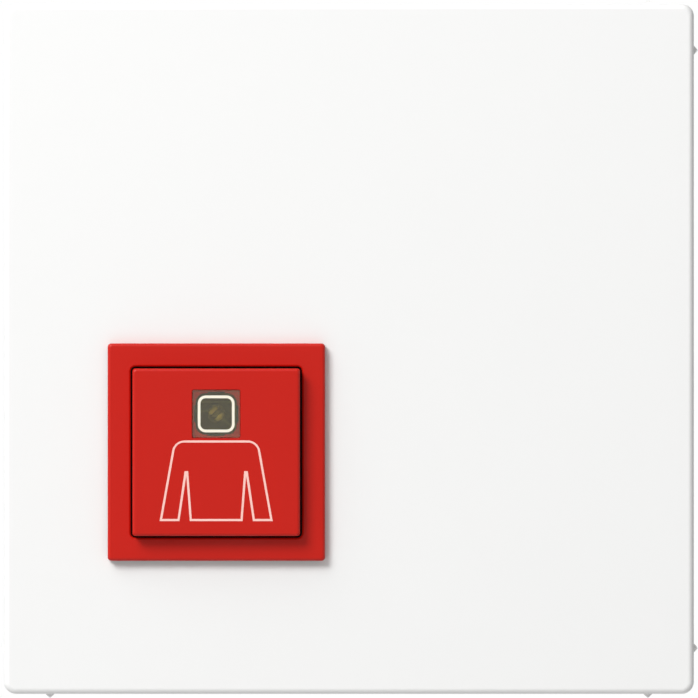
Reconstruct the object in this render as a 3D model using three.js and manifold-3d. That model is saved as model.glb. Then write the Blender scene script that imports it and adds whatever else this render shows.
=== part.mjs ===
// Emergency call button panel: a hinged red call button and its insert in a square white cover panel.
// Sizes are in millimetres. X points right, Z up and Y into the wall. The wall plane is y = 0 and the
// origin is the middle of the cover panel on that plane, so a level in front of the wall is negative.
import * as THREE from "three";
import { mergeVertices } from "three/addons/utils/BufferGeometryUtils.js";
import Module from "manifold-3d";

// How finely round shapes are stepped
const panelEdgeSteps = 6;
const edgeSteps = 3;
const cornerSteps = 4;
const roundSides = 16;
const smallSides = 12;
const wireSides = 8;
const bowlSides = 40;
const springStepsPerTurn = 10;

// Clearances
const seatGap = 0.3; // between pieces that rest on each other
const runningGap = 0.3; // round a pin, hook or plunger that moves
const lensGap = 0.15; // round the window lens
const screwGap = 0.15; // round a screw in its hole
const overrun = 1; // how far a cutting shape reaches past the face that it opens

// Cover panel
const panelSize = 227;
const panelDepth = 10;
const panelWall = 2.5;
const panelCornerRadius = 4;
const panelEdgeRadius = 2;
const ribLines = [-1, 0, 1];
const ribPitch = 54;
const ribThickness = 1.5;
const ribHeight = 2;
const wallStudRadius = 3.5;
const nibOffset = 98.4;
const nibWidth = 3;
const nibReach = 1.4;
const nibDepth = 5;
const nibStandoff = 2;

// Place of the insert on the panel
const insertX = -43.6;
const insertZ = -33.9;

// Red frame round the button
const frameSize = 71.5;
const frameThickness = 3.2;
const frameCornerRadius = 1.2;
const frameEdgeRadius = 0.5;
const frameLipWall = 1.8;
const frameRelief = 1.2;
const collarSize = 65.2;
const collarWall = 1.8;
const collarCornerRadius = 2;
const collarGap = 0.4;
const hookSpread = 18;
const hookWidth = 7;
const hookThickness = 1.3;
const hookReach = 1.6;

// Call button cap
const capSize = 55;
const capGap = 0.65;
const capRise = 5.2;
const capDepth = 8.1;
const capWall = 2;
const capFace = 1.8;
const capCornerRadius = 0.9;
const capEdgeRadius = 0.6;
const capInnerRadius = 0.4;
const capRibThickness = 1.2;
const capRibHeight = 2;
const capRibOffset = 20.5;
const capRibZ = -2.5;
const capRoom = 4.5; // from the inside of the cap's face to the housing cover

// Window in the cap, and its lens
const windowZ = 12.6;
const lensSize = 15.6;
const lensThickness = 1.5;
const lensCornerRadius = 0.6;
const ledgeThickness = 1.4;
const ledgeOpening = 12.5;
const ledgeOpeningRadius = 2.9;
const seatWall = 1.8;
const clipWidth = 4.8;
const clipThickness = 0.7;
const clipReach = 0.5;
const clipLength = 1.2;

// Hinge at the top of the cap
const hingeZ = 21;
const hingeX = 15;
const hingePinRadius = 1.5;
const hingeStand = 1.9;
const hingeHookWidth = 5;
const hingeHookWall = 1.2;
const hingeLip = 1.3;
const earThickness = 1.6;
const earRadius = 2;
const earGap = 0.5;

// Latch arms at the foot of the cap
const latchX = 12;
const latchZ = -21.9;
const latchWidth = 5;
const latchThickness = 1.4;
const latchReach = 1;
const latchLength = 1.4;
const latchPlay = 0.4;

// Plungers and key switches
const plungerX = 14;
const plungerZ = -9;
const plungerRadius = 1.8;
const plungerChamfer = 0.45;
const padRadius = 2.5;
const padHeight = 1;
const switchSize = 8;
const switchHeight = 4;
const switchFloor = 0.8;
const switchNeckRadius = 3;
const switchNeckHeight = 0.6;
const plungerTravelRoom = 1.5;
const switchLegRadius = 0.35;
const switchLegSpread = 2.6;

// Return springs
const springX = 6;
const springZ = -16;
const springRadius = 2.55;
const springWireRadius = 0.25;
const springTurns = 6;
const springEndClosing = 0.55;
const cupRadius = 4;
const cupWall = 0.8;
const cupFloor = 1;
const cupToBoard = 0.5;
const springPostRadius = 1.8;
const springPostHeight = 1.4;

// Support ring and its screws
const ringThickness = 1.2;
const ringSize = 69.2;
const ringCornerRadius = 3;
const ringScrewOffset = 37;
const ringEarWidth = 14;
const ringEarReach = 3.2;
const ringHoleRadius = 2;
const ringHoleOffset = 30.6;
const bossRadius = 3.2;
const bossSkin = 1.2;
const panelScrewRadius = 1.1;
const panelScrewHeadRadius = 2.6;
const panelScrewHeadHeight = 1.7;

// Insert housing
const rimSize = 48;
const rimWall = 1.4;
const rimCornerRadius = 2.5;
const flangeSize = 58;
const flangeThickness = 1.3;
const flangeCornerRadius = 4;
const bowlRadius = 26.5;
const bowlWall = 1.6;
const bowlDepth = 13.8;
const floorThickness = 1.6;
const rimSnapWidth = 8;
const rimSnapReach = 0.9;
const rimSnapLength = 1.2;
const rimSnapSpread = 12;
const postRadius = 3;
const flutePitch = 45;
const fluteWidth = 3;
const fluteDepth = 0.8;

// Housing cover
const coverOverhang = 0.3;
const coverThickness = 1.4;
const coverWindow = 13.5;
const tongueWidth = 6;
const tongueThickness = 1.2;
const tongueLength = 3.5;
const tongueReach = 0.8;
const tongueNose = 1.4;

// Circuit board and what stands on it
const boardThickness = 1.6;
const boardGap = 0.5;
const boardBottomZ = -18.3;
const boardCornerRadius = 1.5;
const boardScrewInset = 4.6; // from the board's edge to its screws
const boardScrewZ = 8;
const boardScrewRadius = 1.25;
const boardScrewHeadRadius = 2.5;
const boardScrewHeadHeight = 1.6;
const boardScrewGrip = 6;
const wireHoleGap = 0.25;

// Indicator LED
const ledRadius = 2.5;
const ledFlangeRadius = 2.95;
const ledFlangeHeight = 1;
const ledHeight = 8.6;
const ledTurn = -Math.PI / 4;
const ledLeadSpread = 1.27;
const ledLeadRadius = 0.25;
const ledPlateGap = 0.2;
const cathodeLength = 3.2;
const cathodeThickness = 0.9;
const cathodeHeight = 5;
const anodeLength = 2.6;
const anodeThickness = 0.6;
const anodeHeight = 4.6;
const leadTail = 1.2;

// Series resistor
const resistorZ = 2.2;
const resistorRadius = 1.1;
const resistorEndRadius = 1.3;
const resistorLength = 6.4;
const resistorEndLength = 1.4;
const resistorPitch = 10.16;
const resistorLeadRadius = 0.3;

// Screw terminal: header on the board, plug on the header
const terminalZ = -4;
const poleCount = 4;
const polePitch = 5.08;
const headerHeight = 8.4;
const headerDepth = 3.5;
const pinWidth = 0.9;
const pinLength = 6;
const plugHeight = 11;
const plugDepth = 16;
const plugBoreWidth = 1.6;
const plugBoreDepth = 7;
const plugGap = 0.4;
const wireEntryRadius = 1.5;
const wireEntryDepth = 6;
const terminalScrewRadius = 1.5;
const terminalScrewLength = 3.5;
const terminalScrewSink = 0.6;
const terminalWellGap = 0.25;
const terminalWellDepth = 5;
const terminalScrewBack = 5;

// Screw heads: shares of the head's radius or height, and the slot or cross recess
const crownShare = 0.7;
const headRimShare = 0.55;
const recessShare = 1.3;
const tipShare = 0.4; // of the shank's radius
const slotWidth = 0.6;
const slotDepth = 0.7;

// Levels along Y, from the panel's front to the bottom of the housing
const panelFront = -panelDepth;
const panelInner = panelFront + panelWall;
const frameBack = panelFront - seatGap;
const frameFront = frameBack - frameThickness;
const capFront = frameFront - capRise;
const capInner = capFront + capFace;
const capBack = capFront + capDepth;
const hookFront = panelInner + seatGap;
const hookBack = hookFront + hookThickness;
const ringFront = hookBack + seatGap;
const ringBack = ringFront + ringThickness;
const bossBack = ringFront - seatGap;
const flangeFront = ringBack + seatGap;
const flangeBack = flangeFront + flangeThickness;
const bowlBack = flangeBack + bowlDepth;
const bowlFloor = bowlBack - floorThickness;
const coverFront = capInner + capRoom;
const coverBack = coverFront + coverThickness;
const rimFront = coverBack + seatGap;
const boardBack = flangeFront - seatGap;
const boardFront = boardBack - boardThickness;
const onBoard = boardFront - seatGap;
const behindBoard = boardBack + seatGap;
const hingeY = coverFront - hingeStand;
const lensBack = capFront + lensThickness;
const ledgeFront = lensBack + seatGap;
const ledgeBack = ledgeFront + ledgeThickness;
const latchFront = coverBack + seatGap;
const latchBack = latchFront + latchLength;
const padBack = capInner + padHeight;
const plungerFront = padBack + seatGap;
const switchFront = onBoard - switchHeight;
const switchBoreBack = onBoard - switchFloor;
const plungerBack = switchBoreBack - plungerTravelRoom;
const cupBack = boardFront - cupToBoard;
const cupInner = cupBack - cupFloor;
const ledTip = onBoard - ledHeight;

// Sizes that follow from the ones above
const frameOpening = capSize + 2 * capGap;
const cutOutSize = collarSize + 2 * collarGap;
const rimInner = rimSize - 2 * rimWall;
const coverSize = rimSize + 2 * coverOverhang;
const ringOpening = rimSize + 2 * seatGap;
const ringEarSize = 2 * (ringScrewOffset + ringEarReach);
const insertClearance = ringEarSize + 2 * seatGap + 2 * ribThickness;
const capHollow = capSize - 2 * capWall;
const lensRecess = lensSize + 2 * lensGap;
const seatSize = lensRecess + 2 * seatWall;
const hingeHookRadius = hingePinRadius + runningGap + hingeHookWall;
const boardHalf = rimInner / 2 - boardGap;
const boardScrewX = boardHalf - boardScrewInset;
const plugWidth = poleCount * polePitch;
const plugFront = behindBoard + headerDepth + seatGap;
const plugBack = plugFront + plugDepth;
const nudge = 0.4; // how far a joined feature reaches into the wall that carries it
const farSides = [-1, 1];
const quarterTurns = [0, 1, 2, 3];
const leastInnerRadius = 0.5; // in the inner corners of a thin wall

// Materials
const whitePlastic = new THREE.MeshStandardMaterial({ color: 0xf7f7f7, roughness: 0.35, metalness: 0 });
const redPlastic = new THREE.MeshStandardMaterial({ color: 0xca2c23, roughness: 0.4, metalness: 0 });
const clearPlastic = new THREE.MeshStandardMaterial({
  color: 0xeef2ee,
  roughness: 0.1,
  metalness: 0,
  transparent: true,
  opacity: 0.35,
});
const zincSteel = new THREE.MeshStandardMaterial({ color: 0xc4c6c8, roughness: 0.35, metalness: 1 });
const springSteel = new THREE.MeshStandardMaterial({ color: 0x9b9da0, roughness: 0.3, metalness: 1 });
const tinnedCopper = new THREE.MeshStandardMaterial({ color: 0xcfcdb8, roughness: 0.35, metalness: 1 });
const greyPlastic = new THREE.MeshStandardMaterial({ color: 0x55585c, roughness: 0.6, metalness: 0 });
const blackPlastic = new THREE.MeshStandardMaterial({ color: 0x202224, roughness: 0.5, metalness: 0 });
const greenPlastic = new THREE.MeshStandardMaterial({ color: 0x2f7d4a, roughness: 0.5, metalness: 0 });
const boardLaminate = new THREE.MeshStandardMaterial({ color: 0x3a4a2a, roughness: 0.5, metalness: 0 });
const resistorPaint = new THREE.MeshStandardMaterial({ color: 0xc8ae82, roughness: 0.5, metalness: 0 });

// Solids: three.js makes every shape, and these join and cut them
const wasm = await Module();
wasm.setup();

function solidOf(geometry) {
  const bare = geometry.clone();
  bare.deleteAttribute("normal");
  bare.deleteAttribute("uv");
  const merged = mergeVertices(bare, 1e-4);
  return new wasm.Manifold(
    new wasm.Mesh({
      numProp: 3,
      vertProperties: merged.attributes.position.array,
      triVerts: new Uint32Array(merged.index.array),
    }),
  );
}

function join(body, ...shapes) {
  return shapes.flat().reduce((sum, shape) => sum.add(solidOf(shape)), body);
}

function cut(body, ...shapes) {
  return shapes.flat().reduce((rest, shape) => rest.subtract(solidOf(shape)), body);
}

function meshOf(name, body, material) {
  const made = body.getMesh();
  const geometry = new THREE.BufferGeometry();
  geometry.setAttribute("position", new THREE.BufferAttribute(made.vertProperties, 3));
  geometry.setIndex(new THREE.BufferAttribute(made.triVerts, 1));
  geometry.computeVertexNormals();
  const mesh = new THREE.Mesh(geometry, material);
  mesh.name = name;
  return mesh;
}

// Shapes in the front view, which is the XZ plane
function roundedSquare(width, height, radius) {
  const x = width / 2 - radius;
  const y = height / 2 - radius;
  const shape = new THREE.Shape();
  shape.absarc(x, y, radius, 0, Math.PI / 2);
  shape.absarc(-x, y, radius, Math.PI / 2, Math.PI);
  shape.absarc(-x, -y, radius, Math.PI, 1.5 * Math.PI);
  shape.absarc(x, -y, radius, 1.5 * Math.PI, 2 * Math.PI);
  return shape;
}

// An outline in the front view, solid from the level front to the level back
function prism(outline, front, back, x = 0, z = 0) {
  const geometry = new THREE.ExtrudeGeometry(outline, {
    depth: back - front,
    bevelEnabled: false,
    curveSegments: cornerSteps,
  });
  geometry.rotateX(Math.PI / 2);
  return geometry.translate(x, back, z);
}

function roundedPrism(size, radius, front, back, x = 0, z = 0) {
  return prism(roundedSquare(size, size, radius), front, back, x, z);
}

// A square slab with round corners and a round edge along its front face
function softSlab(size, cornerRadius, edgeRadius, front, back, steps = edgeSteps) {
  const geometry = new THREE.ExtrudeGeometry(roundedSquare(size, size, cornerRadius), {
    depth: back - front - edgeRadius,
    bevelThickness: edgeRadius,
    bevelSize: edgeRadius,
    bevelOffset: -edgeRadius,
    bevelSegments: steps,
    curveSegments: steps,
  });
  geometry.rotateX(Math.PI / 2);
  geometry.translate(0, back, 0);
  const reach = edgeRadius + overrun;
  return cut(solidOf(geometry), block(size + reach, size + reach, back, back + reach));
}

// A box, given by its width along X, its height along Z and its two levels
function block(width, height, front, back, x = 0, z = 0) {
  return new THREE.BoxGeometry(width, back - front, height).translate(x, (front + back) / 2, z);
}

// A round bar along Y
function rod(radius, front, back, x = 0, z = 0, sides = roundSides) {
  return new THREE.CylinderGeometry(radius, radius, back - front, sides).translate(x, (front + back) / 2, z);
}

// A round bar along X
function crossRod(radius, length, x, y, z, sides = roundSides) {
  return new THREE.CylinderGeometry(radius, radius, length, sides).rotateZ(Math.PI / 2).translate(x, y, z);
}

// A side profile, given by its points [level, height], solid along X
function bar(points, width, x = 0) {
  const outline = new THREE.Shape(points.map(([level, height]) => new THREE.Vector2(level, height)));
  const geometry = new THREE.ExtrudeGeometry(outline, { depth: width, bevelEnabled: false });
  geometry.applyMatrix4(new THREE.Matrix4().set(0, 0, 1, 0, 1, 0, 0, 0, 0, 1, 0, 0, 0, 0, 0, 1));
  return geometry.translate(x - width / 2, 0, 0);
}

// A piece turned round Y, given by its points [radius, level] from front to back
function turnedPiece(points, x = 0, z = 0, sides = roundSides) {
  const profile = points.map(([radius, level]) => new THREE.Vector2(radius, level));
  return new THREE.LatheGeometry(profile, sides).translate(x, 0, z);
}

// Copies of a shape on the four sides of a square
function onFourSides(make) {
  return quarterTurns.map((turn) => make().rotateY((turn * Math.PI) / 2));
}

// White cover panel
function nib(offset) {
  const half = panelSize / 2;
  const outline = new THREE.Shape();
  outline.moveTo(offset - nibWidth / 2, half - nudge);
  outline.lineTo(offset + nibWidth / 2, half - nudge);
  outline.lineTo(offset + nibWidth / 2, half);
  outline.lineTo(offset, half + nibReach);
  outline.lineTo(offset - nibWidth / 2, half);
  return prism(outline, -nibStandoff - nibDepth, -nibStandoff);
}

function panelRibs() {
  const length = panelSize - panelWall;
  const back = panelInner + ribHeight;
  const front = panelInner - nudge;
  return ribLines.flatMap((line) => [
    block(ribThickness, length, front, back, line * ribPitch, 0),
    block(length, ribThickness, front, back, 0, line * ribPitch),
  ]);
}

function ringScrewPlaces() {
  return quarterTurns.map((turn) => {
    const angle = (turn * Math.PI) / 2;
    return [ringScrewOffset * Math.cos(angle), ringScrewOffset * Math.sin(angle)];
  });
}

function coverPlate() {
  const hollow = panelSize - 2 * panelWall;
  const hollowRadius = Math.max(panelCornerRadius - panelWall, leastInnerRadius);
  let body = softSlab(panelSize, panelCornerRadius, panelEdgeRadius, panelFront, 0, panelEdgeSteps);
  body = cut(body, roundedPrism(hollow, hollowRadius, panelInner, overrun));
  body = join(body, panelRibs());
  const ribCut = block(insertClearance, insertClearance, panelInner, overrun, insertX, insertZ);
  body = cut(body, ribCut);
  body = join(body, rod(wallStudRadius, panelInner - nudge, 0));
  for (const [x, z] of ringScrewPlaces()) {
    const place = [insertX + x, insertZ + z];
    body = join(body, rod(bossRadius, panelInner - nudge, bossBack, ...place));
    const bore = panelScrewRadius + screwGap;
    body = cut(body, rod(bore, panelFront + bossSkin, bossBack + overrun, ...place, smallSides));
  }
  const cutOut = roundedPrism(
    cutOutSize,
    collarCornerRadius + collarGap,
    panelFront - overrun,
    panelInner + overrun,
    insertX,
    insertZ,
  );
  body = cut(body, cutOut);
  for (const side of farSides) {
    body = join(body, onFourSides(() => nib(side * nibOffset)));
  }
  return meshOf("cover_plate", body, whitePlastic);
}

// Red frame, which hooks into the panel's cut-out
function frameHook(side) {
  const outer = collarSize / 2;
  const inner = outer - collarWall;
  const root = panelInner - nudge;
  const points = [
    [root, inner],
    [root, outer],
    [hookFront, outer],
    [hookFront, outer + hookReach],
    [hookBack, outer],
    [hookBack, inner],
  ];
  return bar(points, hookWidth, side * hookSpread);
}

function buttonFrame() {
  let body = softSlab(frameSize, frameCornerRadius, frameEdgeRadius, frameFront, frameBack);
  const relief = frameOpening + 2 * frameLipWall;
  const collarInner = collarSize - 2 * collarWall;
  body = join(body, roundedPrism(collarSize, collarCornerRadius, frameBack - nudge, panelInner));
  for (const side of farSides) {
    body = join(body, onFourSides(() => frameHook(side)));
  }
  body = cut(body, roundedPrism(collarInner, capCornerRadius, frameBack, panelInner));
  const groove = solidOf(roundedPrism(collarInner, capCornerRadius, frameBack - frameRelief, frameBack));
  body = body.subtract(cut(groove, roundedPrism(relief, capCornerRadius, frameFront, frameBack)));
  const openingRadius = capCornerRadius + capGap;
  const opening = roundedPrism(frameOpening, openingRadius, frameFront - overrun, panelInner + overrun);
  return meshOf("button_frame", cut(body, opening), redPlastic);
}

// Red call button: a cap with its window seat, ribs, hinge hooks and latch arms
function capRibs() {
  const front = capInner - nudge;
  const back = capInner + capRibHeight;
  const seatFoot = windowZ - seatSize / 2;
  const wallFoot = -capHollow / 2 - nudge;
  const uprightLength = seatFoot - wallFoot + nudge;
  return [
    block(capHollow + 2 * nudge, capRibThickness, front, back, 0, capRibZ),
    block(capRibThickness, uprightLength, front, back, 0, wallFoot + uprightLength / 2),
    ...farSides.map((side) =>
      block(capRibThickness, capHollow + 2 * nudge, front, back, side * capRibOffset, 0),
    ),
  ];
}

function hingeHook(x) {
  const lip = hingeY + hingeLip;
  const plate = block(hingeHookWidth, 2 * hingeHookRadius, capInner - nudge, hingeY, x, hingeZ);
  const round = crossRod(hingeHookRadius, hingeHookWidth, x, hingeY, hingeZ);
  const past = block(hingeHookWidth + overrun, 3 * hingeHookRadius, lip, lip + hingeHookRadius, x, hingeZ);
  return cut(join(solidOf(plate), round), past);
}

function latchArm(x) {
  const points = [
    [capInner - nudge, latchZ],
    [capInner - nudge, latchZ + latchThickness],
    [latchFront, latchZ + latchThickness],
    [latchFront, latchZ + latchThickness + latchReach],
    [latchBack, latchZ + latchThickness],
    [latchBack, latchZ],
  ];
  return bar(points, latchWidth, x);
}

function clipNotch(turn) {
  const width = clipWidth + 2 * runningGap;
  const reach = ledgeOpening / 2 + clipThickness + runningGap;
  return block(width, 2 * reach, lensBack, ledgeBack + overrun).rotateY((turn * Math.PI) / 2);
}

function callButton() {
  let body = softSlab(capSize, capCornerRadius, capEdgeRadius, capFront, capBack);
  body = cut(body, roundedPrism(capHollow, capInnerRadius, capInner, capBack + overrun));
  body = join(body, roundedPrism(seatSize, lensCornerRadius, capInner - nudge, ledgeBack, 0, windowZ));
  body = join(body, capRibs());
  for (const side of farSides) {
    body = body.add(hingeHook(side * hingeX));
    body = join(body, latchArm(side * latchX));
    body = join(body, rod(padRadius, capInner - nudge, padBack, side * plungerX, plungerZ));
    const postBack = capInner + springPostHeight;
    body = join(body, rod(springPostRadius, capInner - nudge, postBack, side * springX, springZ));
    const bore = hingePinRadius + runningGap;
    body = cut(body, crossRod(bore, hingeHookWidth + overrun, side * hingeX, hingeY, hingeZ));
  }
  const recess = roundedPrism(lensRecess, lensCornerRadius, capFront - overrun, ledgeFront, 0, windowZ);
  const opening = roundedPrism(ledgeOpening, ledgeOpeningRadius, lensBack, ledgeBack + overrun, 0, windowZ);
  const notches = [0, 1].map((turn) => clipNotch(turn).translate(0, 0, windowZ));
  return meshOf("call_button", cut(body, recess, opening, notches), redPlastic);
}

// Clear lens, held in its seat by two clips
function lensClip(turn) {
  const inner = ledgeOpening / 2;
  const outer = inner + clipThickness;
  const catchFront = ledgeBack + seatGap;
  const points = [
    [lensBack - nudge, inner],
    [lensBack - nudge, outer],
    [catchFront, outer],
    [catchFront, outer + clipReach],
    [catchFront + clipLength, outer],
    [catchFront + clipLength, inner],
  ];
  return bar(points, clipWidth).rotateY(turn * Math.PI).translate(0, 0, windowZ);
}

function windowLens() {
  const slab = solidOf(roundedPrism(lensSize, lensCornerRadius, capFront, lensBack, 0, windowZ));
  return meshOf("window_lens", join(slab, lensClip(0), lensClip(1)), clearPlastic);
}

// Steel support ring, screwed to the panel's bosses
function supportRing() {
  let body = solidOf(roundedPrism(ringSize, ringCornerRadius, ringFront, ringBack));
  const along = roundedSquare(ringEarSize, ringEarWidth, ringCornerRadius);
  const upright = roundedSquare(ringEarWidth, ringEarSize, ringCornerRadius);
  body = join(body, prism(along, ringFront, ringBack), prism(upright, ringFront, ringBack));
  const through = [ringFront - overrun, ringBack + overrun];
  body = cut(body, roundedPrism(ringOpening, rimCornerRadius + seatGap, ...through));
  for (const [x, z] of ringScrewPlaces()) {
    body = cut(body, rod(panelScrewRadius + 2 * screwGap, ...through, x, z, smallSides));
  }
  for (const sideX of farSides) {
    for (const sideZ of farSides) {
      const place = [sideX * ringHoleOffset, sideZ * ringHoleOffset];
      body = cut(body, rod(ringHoleRadius, ...through, ...place, smallSides));
    }
  }
  return meshOf("support_ring", body, zincSteel);
}

// A screw along Y with a slot in its head. The head's flat side faces front or back
function screw(name, place, radius, headRadius, seat, headHeight, length) {
  const [x, z] = place;
  const turn = Math.sign(headHeight);
  const crown = seat + headHeight;
  const rim = seat + headHeight * headRimShare;
  const tip = seat - turn * length;
  const profile = [
    [0, crown],
    [headRadius * crownShare, crown],
    [headRadius, rim],
    [headRadius, seat],
    [radius, seat],
    [radius, tip + turn * radius],
    [radius * tipShare, tip],
    [0, tip],
  ];
  const points = turn > 0 ? profile.reverse() : profile;
  const levels = [crown - turn * slotDepth, crown + turn * overrun].sort((a, b) => a - b);
  const slots = [
    block(headRadius * recessShare, slotWidth, ...levels, x, z),
    block(slotWidth, headRadius * recessShare, ...levels, x, z),
  ];
  return meshOf(name, cut(solidOf(turnedPiece(points, x, z, smallSides)), slots), zincSteel);
}

function ringScrews() {
  const seat = ringBack + seatGap;
  const length = seat - (panelFront + bossSkin + seatGap);
  return ringScrewPlaces().map((place, index) =>
    screw(
      `ring_screw_${index + 1}`,
      place,
      panelScrewRadius,
      panelScrewHeadRadius,
      seat,
      panelScrewHeadHeight,
      length,
    ),
  );
}

// Insert housing: rim, flange and round bowl in one moulding
function rimSnap(x) {
  const outer = rimSize / 2;
  const back = ringFront - seatGap;
  const points = [
    [back - rimSnapLength, outer - nudge],
    [back - rimSnapLength, outer],
    [back, outer + rimSnapReach],
    [back, outer - nudge],
  ];
  return bar(points, rimSnapWidth, x);
}

function tongueSlot() {
  const front = coverBack + tongueLength - tongueNose - runningGap;
  const back = coverBack + tongueLength + runningGap;
  return block(tongueWidth + 2 * runningGap, 3 * rimWall, front, back, 0, rimSize / 2);
}

function bowlFlute(turn) {
  const angle = ((turn + 0.5) * flutePitch * Math.PI) / 180;
  const flute = block(fluteWidth, 2 * fluteDepth, flangeBack, bowlBack + overrun, 0, bowlRadius);
  return flute.rotateY(angle);
}

function terminalOpening(front, back) {
  const width = plugWidth + 2 * plugGap;
  return block(width, plugHeight + 2 * plugGap, front, back, 0, terminalZ);
}

function insertHousing() {
  let body = solidOf(roundedPrism(flangeSize, flangeCornerRadius, flangeFront, flangeBack));
  body = join(body, roundedPrism(rimSize, rimCornerRadius, rimFront, flangeBack));
  const hollowRadius = Math.max(rimCornerRadius - rimWall, leastInnerRadius);
  body = cut(body, roundedPrism(rimInner, hollowRadius, rimFront - overrun, flangeFront));
  body = join(body, rod(bowlRadius, flangeBack, bowlBack, 0, 0, bowlSides));
  body = cut(body, rod(bowlRadius - bowlWall, flangeFront - overrun, bowlFloor, 0, 0, bowlSides));
  for (let flute = 0; flute < 360 / flutePitch; flute += 1) {
    body = cut(body, bowlFlute(flute));
  }
  for (const side of farSides) {
    body = join(body, onFourSides(() => rimSnap(side * rimSnapSpread)));
    const place = [side * boardScrewX, boardScrewZ];
    const bore = boardScrewRadius + screwGap;
    body = join(body, rod(postRadius, flangeFront, bowlFloor + nudge, ...place));
    body = cut(body, rod(bore, flangeFront - overrun, bowlFloor - overrun, ...place, smallSides));
  }
  body = cut(body, onFourSides(tongueSlot), terminalOpening(bowlFloor - overrun, bowlBack + overrun));
  return meshOf("insert_housing", body, greyPlastic);
}

// Housing cover: plate with windows, hinge ears and pins, spring cups and tongues
function coverTongue() {
  const outer = rimInner / 2 - runningGap;
  const inner = outer - tongueThickness;
  const back = coverBack + tongueLength;
  const points = [
    [coverBack - nudge, inner],
    [coverBack - nudge, outer],
    [back - tongueNose, outer],
    [back - tongueNose, outer + tongueReach],
    [back, outer],
    [back, inner],
  ];
  return bar(points, tongueWidth);
}

function hingeEars(x) {
  const reach = hingeHookWidth / 2 + earGap;
  const ears = farSides.flatMap((side) => {
    const earX = x + side * (reach + earThickness / 2);
    return [
      block(earThickness, 2 * earRadius, hingeY, coverFront + nudge, earX, hingeZ),
      crossRod(earRadius, earThickness, earX, hingeY, hingeZ),
    ];
  });
  return [...ears, crossRod(hingePinRadius, 2 * reach + earThickness, x, hingeY, hingeZ)];
}

function latchSlot(x) {
  const top = latchZ + latchThickness + latchPlay;
  const foot = latchZ - latchPlay;
  const width = latchWidth + 2 * latchPlay;
  return block(width, top - foot, coverFront - overrun, coverBack + overrun, x, (top + foot) / 2);
}

function housingCover() {
  const through = [coverFront - overrun, coverBack + overrun];
  let body = solidOf(roundedPrism(coverSize, rimCornerRadius, coverFront, coverBack));
  body = join(body, onFourSides(coverTongue));
  body = cut(body, roundedPrism(coverWindow, lensCornerRadius, ...through, 0, windowZ));
  for (const side of farSides) {
    const hole = switchSize + 2 * runningGap;
    const cup = [side * springX, springZ];
    body = join(body, hingeEars(side * hingeX), rod(cupRadius, coverBack - nudge, cupBack, ...cup));
    body = cut(
      body,
      rod(cupRadius - cupWall, coverFront - overrun, cupInner, ...cup),
      block(hole, hole, ...through, side * plungerX, plungerZ),
      latchSlot(side * latchX),
    );
  }
  return meshOf("housing_cover", body, greyPlastic);
}

// Circuit board and what stands on it
function poleOffsets() {
  return Array.from({ length: poleCount }, (_, pole) => (pole - (poleCount - 1) / 2) * polePitch);
}

function switchLegPlaces(side) {
  return farSides.map((leg) => [side * plungerX + leg * switchLegSpread, plungerZ]);
}

function ledLeadPlaces() {
  return farSides.map((side) => [
    side * ledLeadSpread * Math.sin(ledTurn),
    windowZ + side * ledLeadSpread * Math.cos(ledTurn),
  ]);
}

function circuitBoard() {
  const through = [boardFront - overrun, boardBack + overrun];
  const height = boardHalf - boardBottomZ;
  const outline = roundedSquare(2 * boardHalf, height, boardCornerRadius);
  let body = solidOf(prism(outline, boardFront, boardBack, 0, boardBottomZ + height / 2));
  const hole = (radius, place) => rod(radius, ...through, ...place, smallSides);
  for (const side of farSides) {
    body = cut(body, hole(boardScrewRadius + 2 * screwGap, [side * boardScrewX, boardScrewZ]));
    body = cut(body, switchLegPlaces(side).map((place) => hole(switchLegRadius + wireHoleGap, place)));
    body = cut(body, hole(resistorLeadRadius + wireHoleGap, [(side * resistorPitch) / 2, resistorZ]));
  }
  body = cut(body, ledLeadPlaces().map((place) => hole(ledLeadRadius + wireHoleGap, place)));
  const pinHole = (pinWidth / 2) * Math.SQRT2 + wireHoleGap;
  body = cut(body, poleOffsets().map((x) => hole(pinHole, [x, terminalZ])));
  return meshOf("circuit_board", body, boardLaminate);
}

function keySwitch(side) {
  const [x, z] = [side * plungerX, plungerZ];
  let body = solidOf(roundedPrism(switchSize, lensCornerRadius, switchFront, onBoard, x, z));
  body = join(body, rod(switchNeckRadius, switchFront - switchNeckHeight, switchFront + nudge, x, z));
  const boreFront = switchFront - switchNeckHeight - overrun;
  body = cut(body, rod(plungerRadius + runningGap, boreFront, switchBoreBack, x, z));
  const legs = switchLegPlaces(side).map((place) =>
    rod(switchLegRadius, onBoard - nudge, boardBack + leadTail, ...place, wireSides),
  );
  return meshOf(side < 0 ? "switch_1" : "switch_2", join(body, legs), blackPlastic);
}

function plunger(side) {
  const points = [
    [0, plungerFront],
    [plungerRadius - plungerChamfer, plungerFront],
    [plungerRadius, plungerFront + plungerChamfer],
    [plungerRadius, plungerBack],
    [0, plungerBack],
  ];
  const body = solidOf(turnedPiece(points, side * plungerX, plungerZ));
  return meshOf(side < 0 ? "plunger_1" : "plunger_2", body, redPlastic);
}

// The helix of a return spring, with its end turns closed up
class SpringPath extends THREE.Curve {
  constructor(x, z, front, back) {
    super();
    Object.assign(this, { x, z, front, back });
  }

  getPoint(share, target = new THREE.Vector3()) {
    const angle = share * springTurns * 2 * Math.PI;
    const rise = share - (springEndClosing * Math.sin(2 * Math.PI * share)) / (2 * Math.PI);
    return target.set(
      this.x + springRadius * Math.cos(angle),
      this.back + (this.front - this.back) * rise,
      this.z + springRadius * Math.sin(angle),
    );
  }
}

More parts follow.
